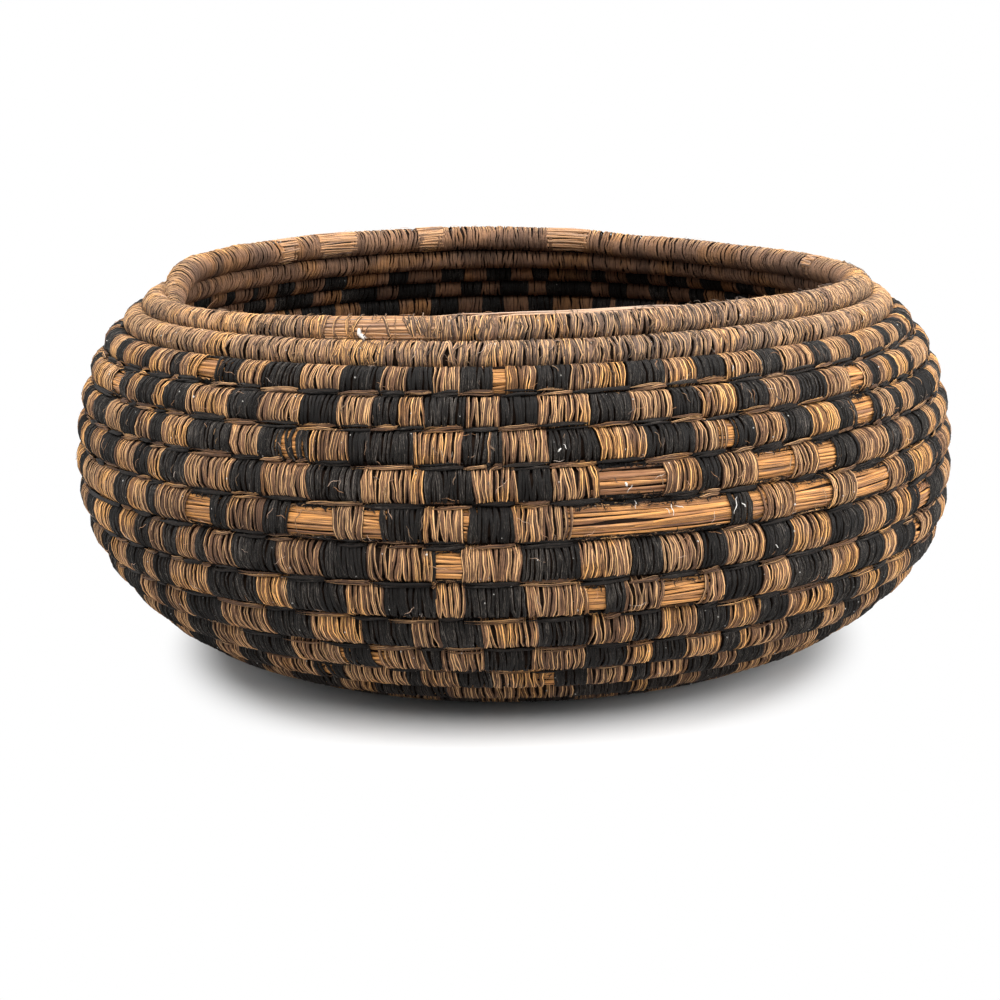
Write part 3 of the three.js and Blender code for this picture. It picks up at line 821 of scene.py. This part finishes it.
def unit_strand(shares):
    """One closed strand round a section of unit size: X outward, Y down the wall, Z along the coil."""
    points, faces, corners = [], [], []
    stations, columns = len(shares), len(STRAND_RIBS)
    ends = (*shares, 1.0)
    for i, share in enumerate(shares):
        way = TAU * share + math.pi
        x, y = (math.copysign(abs(v) ** STRAND_SQUARENESS, v) for v in (math.cos(way), math.sin(way)))
        for j, (side, rise) in enumerate(STRAND_RIBS):
            reach = 1.0 - STRAND_DEPTH * (1.0 - rise)
            points.append((x * reach, y * reach, side - STRAND_BOW * max(x, 0) ** 2))
            ahead, beside = (i + 1) % stations, (j + 1) % columns
            faces.append([a * columns + b for a, b in ((i, j), (ahead, j), (ahead, beside), (i, beside))])
            for u, v in ((i, j), (i + 1, j), (i + 1, j + 1), (i, j + 1)):
                corners.extend((ends[u], v / columns))
    mesh = new_mesh("unit_strand", points, (), faces)
    mesh.uv_layers.new(name="fibre_map").data.foreach_set("uv", corners)
    return new_object("unit_strand", mesh)


def wraps_guide(coil, strands, turns, dye, patch, rng, slant=0.0):
    """One guide point for every wrap, with all that its strand needs to know."""
    centre, _, outward, half_row, share = coil.section(turns)
    mesh = new_mesh("wraps", coil.place(turns, centre))
    count = len(turns)
    note(mesh, "lengthways", coil.lengthways(turns))
    note(mesh, "outward", coil.turned(turns, outward))
    lift = rng.normal(0, LIFT_SPREAD, count)
    lift = 1.0 + np.where(turns > LAST_FINE_ROW, -abs(lift), lift)
    note(mesh, "half_row", half_row + np.where(turns < LAP_FROM, -SEAM_GAP, SEAM_LAP))
    note(mesh, "lift", lift * share)
    note(mesh, "strand_width", strands.width * rng.uniform(*WIDTH_SPREAD, count))
    unruly = np.where(turns < COIL_END_TURN + 2, 1.7, 1.0)
    lean = rng.normal(0, strands.lean * 0.75, count) * unruly + strands.lean * 0.4 * np.sin(turns * 61.0)
    note(mesh, "lean", lean + slant)
    note(mesh, "dye", dye)
    note(mesh, "patch", patch)
    note(mesh, "tone", rng.random(count))
    return mesh


def wrap_turns(coil, start, end, spacing, rng):
    """Turns at which the wraps of a stretch of coil sit."""
    turns, at = [], start
    while at < end:
        turns.append(at)
        radius = max(float(coil.section(at)[0][0]), 0.004)
        at += spacing * rng.uniform(*STEP_SPREAD) / (TAU * radius)
    return np.array(turns)


def fibres(name, lines, finish, width, thickness, sides, wander, seed):
    """Fibres along lines, as one piece; each line is (points, outward, girth, tone, dye, patch tone)."""
    points, edges = [], []
    notes = {key: [] for key in ("outward", "girth", "tone", "dye", "patch")}
    for path, facing, girth, *rest in lines:
        first, count = len(points), len(path)
        points.extend(path)
        edges.extend((first + i, first + i + 1) for i in range(count - 1))
        for key, values in zip(notes, (facing, girth, *([value] * count for value in rest))):
            notes[key].extend(values)
    mesh = new_mesh("lines", points, edges)
    for key, values in notes.items():
        note(mesh, key, np.array(values))
    sizes = {"Width": width, "Thickness": thickness, "Sides": sides, "Wander": wander, "Seed": seed}
    return grown(name, mesh, LINES, sizes, finish)


# ---- Operators ----

def settings():
    scene = bpy.context.scene
    return scene.basket_coil, scene.basket_strands, scene.basket_colours, scene.basket_stage


def settle(piece, slot, *nodes):
    """Makes a finished piece ride on the basket's body and stand for its CAD nodes."""
    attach(piece, BODY)
    if nodes:
        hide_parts(*nodes)


class BASKET_OT_splint_bundle(bpy.types.Operator):
    """Make the bundle of split stems that winds from rim to base"""
    bl_idname = "basket.splint_bundle"
    bl_label = "Stem Bundle"

    def execute(self, context):
        shape, strands, _, _ = settings()
        coil, rng = Coil(shape), np.random.default_rng(strands.seed)
        last = ROWS + COIL_END_TURN
        turns = [TIP_TURN + 0.003]
        while turns[-1] < last:
            turns.append(turns[-1] + 1 / (BUNDLE_STEPS if turns[-1] < LAST_FINE_TURN else BASE_STEPS))
        turns = np.array(turns)
        centre, _, outward, half_row, share = coil.section(turns)
        girth = np.minimum(share, half_row / coil.half * share)
        # The covered bundle and the filling in its seams take the dark bundle finish: painted shade where they show
        # between the wraps
        covered = (coil.place(turns, centre), coil.turned(turns, outward), girth, 0.0, 0.0, 0.0)
        width = 2 * (coil.half - strands.thickness - COVER_GAP)
        inner = turns[(turns > COIL_END_TURN + 0.1) & (turns < last - 0.3)][::2]
        path, facing = coil.place(inner, coil.profile(inner + 0.5)), coil.turned(inner, coil.section(inner)[2])
        filling = (path, facing, np.full(len(inner), SEAM_FILLING / width), 0.0, 0.0, 0.0)
        bundle = fibres("covered_bundle", [covered, filling], BUNDLE, width, width, 14, 0.0, 1.0)
        stems = self.bare_stems(coil, strands, rng)
        both = [bundle, stems]
        with context.temp_override(
                active_object=bundle, selected_editable_objects=both, object=bundle, selected_objects=both):
            bpy.ops.object.join()
        bundle.name = "splint_bundle"
        settle(bundle, "splint_bundle", "foundation_coil")
        return {"FINISHED"}

    def bare_stems(self, coil, strands, rng):
        """The stems that show where the binding has worn off."""
        lines = []
        for row in range(1, LAST_CARRIED_ROW + 1):
            for start, end, kind in row_blocks(coil, row):
                if kind == "w":
                    proud = BACK_PROUD if row == 1 and start < BACK_UNTIL else 0.0
                    lines += self.stretch(coil, strands, row, start, end, rng, proud=proud)
        start, end = (float(coil.turn_at(1, at)) for at in reversed(RIM_EDGE_WORN))
        lines += self.stretch(coil, strands, 1, start, end, rng, RIM_EDGE_ANGLES, EDGE_PROUD)
        return fibres("bare_splints", lines, STEMS, strands.splint_width, strands.splint_thickness, 6, 0.0003, 2.0)

    def stretch(self, coil, strands, row, start, end, rng, angles=None, proud=0.0):
        """The stems of one worn stretch, set side by side round the section."""
        per_turn = coil.row_length(row)
        margin = STEM_TUCK / per_turn
        count = max(6, int((end - start) * per_turn / STEM_STATION) + 4)
        loose = (EDGE_STRAY if angles else STEM_STRAY) / per_turn
        middle = (row - (start + end) / 2) * per_turn / CHART_STRAND
        red = 0.12 if row == PALE_ROW and middle < PALE_UNTIL else 0.7
        dust = 0.30 if angles else 0.12 if row == 1 else 0.0
        fine, step = (0.5, 8) if row == 1 else (0.60, 11)
        depth = coil.half - strands.thickness - STEM_DEPTH
        rise = eased(np.linspace(0, 8, count)) * eased(np.linspace(8, 0, count)) if angles else 1.0
        lines = []
        for base in angles or range(-180, 180, step):
            first, last = start - margin - loose * rng.uniform(-1, 1), end + margin + loose * rng.uniform(-1, 1)
            turns = np.linspace(first, last, count)
            slant = rng.normal(0, 0.07)
            angle = math.radians(base) + rng.normal(0, 0.05) + slant * np.linspace(-1, 1, count)
            reach = depth + proud * rise + rng.uniform(-0.0006, 0.0001)
            girth = np.full(count, fine * rng.uniform(0.86, 1.12)) * (1 + 0.06 * np.sin(turns * 900 + base))
            if row == VOID_ROW and base in VOID_STEMS:
                strand = (row - turns) * per_turn / CHART_STRAND
                swell = np.clip(np.minimum((strand - VOID_FROM) / 4, (VOID_TO - strand) / 10), 0, 1)
                angle = angle + (-0.14 if base == VOID_STEMS[0] else 0.30) * swell
                reach = reach - 0.0004 * swell
                girth = girth * (1 - 0.25 * swell)
            path, facing = coil.on_surface(turns, angle, reach)
            lines.append((path, facing, girth, np.clip(red + rng.normal(0, 0.22), 0, 1), 0.0, dust))
        return lines


class BASKET_OT_binding(bpy.types.Operator):
    """Wind the strands round the coil, row by row, in brown and black blocks"""
    bl_idname = "basket.binding"
    bl_label = "Binding Rows"

    def execute(self, context):
        shape, strands, _, _ = settings()
        coil = Coil(shape)
        units = [unit_strand(stations) for stations in (EVEN_STATIONS, OUTWARD_STATIONS, COARSE_STATIONS)]
        even, outward, coarse = units
        for row in range(1, ROWS + 1):
            rng = np.random.default_rng(strands.seed * 100 + row)
            plain = row < FIRST_PATTERNED_ROW
            spacing = strands.width * (RIM_STRAND_SHARE if plain else 1.0)
            turns = wrap_turns(coil, *row_turns(row), spacing, rng)
            dye, patch, there, slant = self.dyes(coil, row, turns, rng)
            guide = wraps_guide(coil, strands, turns[there], dye[there], patch[there], rng, slant[there])
            piece = grown(f"wound_row_{row:02d}", guide, WINDING, {
                "Strand": even if row <= LAST_INNER_ROW else outward if row <= LAST_FINE_ROW else coarse,
                "Half Thickness": coil.half,
                "Wander": strands.wander * (1.5 if plain else 1.0),
                "Seed": float(row)}, WOUND)
            slot = "black_strand" if dye.mean() > 0.5 else "natural_strand"
            settle(piece, slot, f"binding_row_{row:02d}")
        for made in units:
            bpy.data.objects.remove(made)
        return {"FINISHED"}

    def dyes(self, coil, row, turns, rng):
        """The dye, tone and slant of every wrap of a row, and whether it is still there."""
        count = len(turns)
        dye, patch, slant = np.zeros(count), np.full(count, 0.5), np.zeros(count)
        there = np.ones(count, bool)
        for start, end, kind in row_blocks(coil, row):
            inside = (turns >= start) & (turns < end)
            dye[inside] = 1.0 if kind == "b" else 0.0
            patch[inside] = np.clip(rng.normal(0.5, 0.2), 0, 1)
            if kind == "w":
                there[inside] = False
        if row < FIRST_PATTERNED_ROW:
            bearing = (-turns * 360) % 360
            dye += eased_between(bearing, RIM_DUST)
            ripple = 0.18 * np.sin(turns * 173) * np.sin(turns * 67)
            patch = 0.1 + eased_between(bearing, RIM_TONES) + ripple + rng.normal(0, 0.12, count)
        if row == 2:
            patch = np.maximum(patch, 0.35)
        if row == 1:
            for lone, lean in RIM_LONE_WRAPS:
                nearest = np.argmin(abs(turns - coil.turn_at(1, lone)))
                there[nearest], slant[nearest] = True, math.radians(lean)
        return dye, patch, there, slant


class BASKET_OT_carried(bpy.types.Operator):
    """Lay the idle strands in the grooves under the blocks"""
    bl_idname = "basket.carried"
    bl_label = "Carried Strands"

    def execute(self, context):
        shape, strands, _, _ = settings()
        coil = Coil(shape)
        for row in range(FIRST_PATTERNED_ROW, LAST_CARRIED_ROW + 1):
            rng = np.random.default_rng(strands.seed * 1000 + row)
            lines = []
            for start, end, kind in row_blocks(coil, row):
                if kind != "w":
                    lines += self.float_lines(coil, start, end, kind == "n", rng)
            piece = fibres(f"carried_row_{row:02d}", lines, WOUND,
                           strands.carried_width, strands.carried_thickness, 5, 0.0004, float(row))
            settle(piece, "black_strand", f"carried_strand_{row:02d}")
        return {"FINISHED"}

    def float_lines(self, coil, start, end, black, rng):
        """The strands carried under one block: blunt at the block's right end, pointed at its left."""
        lines, count = [], 8
        turns, share = np.linspace(start, end, count), np.linspace(0, 1, count)
        seam, along = coil.profile(turns + 0.5), unit(coil.profile(turns + 1.0) - coil.profile(turns))
        outward = np.stack([-along[:, 1], along[:, 0]], axis=-1)
        strand_count, furthest = (4, 0.60) if black else (3, 0.64)
        for _ in range(strand_count):
            stop = rng.uniform(0.8, 1.15)
            ends = np.minimum(share * 12 + 0.5, (stop - share) * 2.6 + 0.12)
            girth = rng.uniform(0.42, 0.75) * np.clip(ends, 0.1, 1)
            out = coil.half * rng.uniform(0.44, furthest) + 0.0005 * np.sin(share * math.pi + rng.uniform(-1, 1))
            drop = rng.uniform(-0.0010, 0.0009) + rng.uniform(0.0002, 0.0010) * (share - 0.5)
            drop = drop + 0.00012 * np.sin(share * 9 + rng.uniform(0, 6))
            flat = seam + outward * out[:, None] + along * drop[:, None]
            tone, patch = rng.uniform(0.3, 1.0), rng.uniform(0.0, 0.9)
            lines.append((coil.place(turns, flat), coil.turned(turns, outward), girth, tone, float(black), patch))
        return lines


class BASKET_OT_start_knot(bpy.types.Operator):
    """Make the small wound knot that the coil starts from"""
    bl_idname = "basket.start_knot"
    bl_label = "Start Knot"

    def execute(self, context):
        shape, strands, _, _ = settings()
        coil, rng = Coil(shape), np.random.default_rng(strands.seed + 50)
        strand = unit_strand(OUTWARD_STATIONS)
        turns = wrap_turns(coil, ROWS + COIL_END_TURN, ROWS + KNOT_TURNS, strands.width * 0.9, rng)
        guide = wraps_guide(coil, strands, turns, np.zeros(len(turns)), np.full(len(turns), 0.4), rng)
        sizes = {"Strand": strand, "Half Thickness": coil.half, "Wander": strands.wander * 0.5, "Seed": 50.0}
        piece = grown("wound_start", guide, WINDING, sizes, WOUND)
        bpy.data.objects.remove(strand)
        settle(piece, "natural_strand", "start_knot")
        return {"FINISHED"}


class BASKET_OT_loose_fibres(bpy.types.Operator):
    """Add the torn ends, hairs and lint that cling to the binding"""
    bl_idname = "basket.loose_fibres"
    bl_label = "Loose Fibres"

    def execute(self, context):
        shape, strands, _, _ = settings()
        coil, rng = Coil(shape), np.random.default_rng(strands.seed + 90)
        torn = []
        for row in (1, *range(FIRST_PATTERNED_ROW, LAST_CARRIED_ROW + 1)):
            for start, end, kind in row_blocks(coil, row):
                if kind == "w":
                    torn += self.torn_ends(coil, row, start, end, rng)
        torn += [self.fray(coil, rng) for _ in range(FRAYS)]
        settle(fibres("torn_ends", torn, WOUND, *TORN_FIBRE), "black_strand")
        hairs = [self.stray_hair(coil, rng) for _ in range(HAIRS)]
        hairs.append(self.standing_fibre(coil))
        for row, at, degrees, reach, girth, *heading in LINT:
            turn = float(coil.turn_at(row, at))
            lint = self.hair(coil, turn, math.radians(degrees), reach, girth, 1.0, rng, *heading)
            hairs.append((*lint, 0.0, 0.5))
        settle(fibres("hairs_and_lint", hairs, LOOSE, *HAIR_FIBRE), "natural_strand")
        return {"FINISHED"}

    def fray(self, coil, rng):
        """A frayed end near the front, mostly on the rim, that follows the strands."""
        last = 3 if rng.random() < 0.7 else 8
        turn = rng.integers(1, last) + rng.uniform(-0.27, 0.27)
        heading = math.pi / 2 + rng.normal(0, 0.35)
        angle, reach, girth = rng.uniform(-1.0, 1.3), rng.uniform(0.0015, 0.0060), rng.uniform(0.30, 0.75)
        return (*self.hair(coil, turn, angle, reach, girth, rng.random(), rng, heading), 0.2, rng.uniform(-0.6, 1.6))

    def stray_hair(self, coil, rng):
        """A thin hair anywhere on the outside."""
        turn, angle, reach = rng.uniform(0.3, 9.5), rng.uniform(-1.5, 1.5), rng.uniform(0.002, 0.006)
        girth, shade = rng.uniform(0.2, 0.45), rng.uniform(0.2, 0.55)
        return (*self.hair(coil, turn, angle, reach, girth, shade, rng), 0.0, 0.5)

    def standing_fibre(self, coil):
        """The fibre that stands up off the rim and bends over a little."""
        row, at, reach, lean = STANDING_FIBRE
        root, facing = coil.on_surface(np.full(6, float(coil.turn_at(row, at))), math.radians(-75), coil.half)
        share = np.linspace(0, 1, 6)[:, None]
        path = root + reach * share * np.array([math.sin(lean), 0, math.cos(lean)]) + [0.0006, 0, 0] * share ** 2
        return path, facing, np.linspace(0.9, 0.5, 6), 0.35, 0.0, 0.5

    def torn_ends(self, coil, row, start, end, rng):
        """Rags of the lost binding along both edges of a worn stretch."""
        lines, per_turn = [], coil.row_length(row)
        span = (end - start) * per_turn
        if span < TORN_LEAST:
            return lines
        back = row == 1 and start < BACK_UNTIL
        if row > 1:
            for edge in RAG_EDGES:
                turns = np.linspace(start, end, max(4, int(span / 0.002)))
                path, facing = coil.on_surface(turns, edge, coil.half - 0.0004)
                lines.append((path, facing, np.full(len(turns), 2.4), rng.random(), 1.0, rng.random()))
        for edge in BACK_EDGES if back else RIM_EDGES if row == 1 else ROW_EDGES:
            blackness = 0.15 if row == 1 else 0.9 if edge < 0 else 0.7
            for _ in range(int(span / TORN_SPACING)):
                middle, size = rng.uniform(start, end), rng.uniform(0.002, 0.008) / per_turn
                turns = np.linspace(max(middle - size, start), min(middle + size, end), 5)
                angle = edge * (1 + abs(rng.normal(0, 0.10))) + rng.normal(0, 0.06, 5).cumsum()
                path, facing = coil.on_surface(turns, angle, coil.half - rng.uniform(-0.0001, 0.0013))
                black = float(rng.random() < blackness)
                girth = rng.uniform(0.7, 2.0) * np.array([0.4, 1, 1, 0.8, 0.3])
                lines.append((path, facing, girth, rng.random(), black, rng.random()))
                if not back:
                    angle, reach = edge * rng.uniform(0.62, 1.1), rng.uniform(0.0008, 0.0028)
                    stub = self.hair(coil, middle, angle, reach, rng.uniform(0.3, 0.8), rng.random(), rng)
                    lines.append((*stub, black, rng.random()))
        return lines

    def hair(self, coil, turn, angle, reach, girth, shade, rng, heading=None):
        """One hair or shred of lint that lies on the coil, an end or a bend of it standing off a little."""
        share = np.linspace(-0.5, 0.5, len(HAIR_GIRTH))
        if heading is None:
            heading = rng.uniform(0, TAU)
        curl = rng.normal(0, 0.25) * share ** 2 + 0.05 * np.sin(share * 9 + rng.uniform(0, 6))
        radius = float(coil.section(turn)[0][0])
        turns = turn + reach * (share * math.cos(heading) - curl * math.sin(heading)) / (TAU * radius)
        angles = angle + reach * (share * math.sin(heading) + curl * math.cos(heading)) / coil.half
        rise = rng.uniform(0.0, 0.0004) * np.cos(share * math.pi * rng.uniform(0.8, 1.6)) + 0.0001
        path, facing = coil.on_surface(turns, angles, coil.half + rise)
        return path, facing, girth * np.array(HAIR_GIRTH), shade


class BASKET_OT_stage(bpy.types.Operator):
    """Set out the floor, the lamps, the sky and the camera"""
    bl_idname = "basket.stage"
    bl_label = "Stage"

    def execute(self, context):
        stage = settings()[3]
        scene = context.scene
        half = stage.floor_size / 2
        corners = [(x * half, y * half, 0) for x, y in ((-1, -1), (1, -1), (1, 1), (-1, 1))]
        floor = new_object("floor", new_mesh("floor", corners, (), [(0, 1, 2, 3)]))
        floor.data.materials.append(self.floor_finish())
        self.sky(scene, stage.sky)
        self.lamp("key_lamp", (0.12, -0.95, 1.35), 0.05, 1.5, stage.key)
        self.lamp("top_lamp", (0.0, 0.5, 1.5), 0.05, 2.2, stage.top)
        self.lamp("left_lamp", (-1.3, 0.1, 0.5), 0.03, 0.9, stage.side * 0.4)
        self.lamp("right_lamp", (1.3, -0.3, 0.5), 0.03, 0.9, stage.side)
        self.camera(scene, stage)
        scene.view_settings.view_transform = "Standard"
        return {"FINISHED"}

    def floor_finish(self):
        """A pale floor that keeps the shadow near the basket and is plain white further off."""
        material = bpy.data.materials.new("Pale Floor")
        material.use_nodes = True
        board = Board(material.node_tree)
        board.tree.nodes.clear()
        seen = board.put("ShaderNodeLightPath", out="Is Camera Ray")
        place = board.place() * (1.3, 1.0, 1.0)
        away = board.put("ShaderNodeVectorMath", {0: place}, out="Value", operation="LENGTH").ramp(0.139, 0.172)
        pale = board.put("ShaderNodeBsdfDiffuse", {"Color": (0.78, 0.78, 0.78, 1.0)})
        white = board.put("ShaderNodeEmission", {"Color": (1.0, 1.0, 1.0, 1.0), "Strength": 1.0})
        bright = board.put("ShaderNodeMixShader", {0: away, 1: pale, 2: white})
        plain = board.put("ShaderNodeBsdfDiffuse", {"Color": (0.6, 0.6, 0.6, 1.0)})
        both = board.put("ShaderNodeMixShader", {0: seen, 1: plain, 2: bright})
        board.put("ShaderNodeOutputMaterial", {0: both})
        return material

    def sky(self, scene, strength):
        """Even light from all round, seen as white."""
        world = bpy.data.worlds.new("Studio")
        world.use_nodes = True
        scene.world = world
        board = Board(world.node_tree)
        board.tree.nodes.clear()
        seen = board.put("ShaderNodeLightPath", out="Is Camera Ray")
        for ray in ("Is Glossy Ray", "Is Transmission Ray"):
            seen = seen + board.put("ShaderNodeLightPath", out=ray)
        level = board.put("ShaderNodeMapRange", {"Value": seen, "To Min": strength, "To Max": 1.0})
        light = board.put("ShaderNodeBackground", {"Color": (1.0, 1.0, 1.0, 1.0), "Strength": level})
        board.put("ShaderNodeOutputWorld", {0: light})

    def lamp(self, name, place, aim_height, size, watts):
        """A round soft lamp that points at the basket's middle, so high up."""
        data = bpy.data.lights.new(name, "AREA")
        data.shape, data.size, data.energy = "DISK", size, watts
        lamp = new_object(name, data)
        lamp.location = place
        lamp.rotation_euler = (Vector((0, 0, aim_height)) - Vector(place)).to_track_quat("-Z", "Y").to_euler()

    def camera(self, scene, stage):
        """The camera at the photo's place, rolled a little as it was."""
        data = bpy.data.cameras.new("camera")
        data.lens, data.sensor_width = stage.lens, 36.0
        data.shift_x, data.shift_y = -0.014, -0.0548
        data.clip_start = 0.01
        camera = new_object("camera", data)
        camera.location = (0.0, -0.7126, 0.2069)
        camera.rotation_mode = "QUATERNION"
        look = Vector((0.0, 0.0, 0.0676)) - Vector(camera.location)
        roll = Quaternion((0.0, 0.0, 1.0), math.radians(-0.776))
        camera.rotation_quaternion = look.to_track_quat("-Z", "Y") @ roll
        scene.camera = camera


class BASKET_PT_panel(bpy.types.Panel):
    """The basket's parts and their settings"""
    bl_idname = "BASKET_PT_panel"
    bl_label = "Coiled Basket"
    bl_space_type = "VIEW_3D"
    bl_region_type = "UI"
    bl_category = "Basket"

    def draw(self, context):
        layout = self.layout
        for operator in OPERATORS:
            layout.operator(operator.bl_idname)
        for group in settings():
            box = layout.box()
            for key in group.__annotations__:
                box.prop(group, key)


OPERATORS = (BASKET_OT_stage, BASKET_OT_splint_bundle, BASKET_OT_binding, BASKET_OT_carried,
             BASKET_OT_start_knot, BASKET_OT_loose_fibres)
GROUPS = (("basket_coil", CoilShape), ("basket_strands", Strands),
          ("basket_colours", Colours), ("basket_stage", Stage))


def register():
    for name, group in GROUPS:
        bpy.utils.register_class(group)
        setattr(bpy.types.Scene, name, bpy.props.PointerProperty(type=group))
    for made in (*OPERATORS, BASKET_PT_panel):
        bpy.utils.register_class(made)


def unregister():
    for made in (*OPERATORS, BASKET_PT_panel):
        bpy.utils.unregister_class(made)
    for name, group in GROUPS:
        delattr(bpy.types.Scene, name)
        bpy.utils.unregister_class(group)


def main():
    register()
    bpy.ops.basket.stage()
    bpy.ops.basket.splint_bundle()
    bpy.ops.basket.binding()
    bpy.ops.basket.carried()
    bpy.ops.basket.start_knot()
    bpy.ops.basket.loose_fibres()


if __name__ == "__main__":
    main()
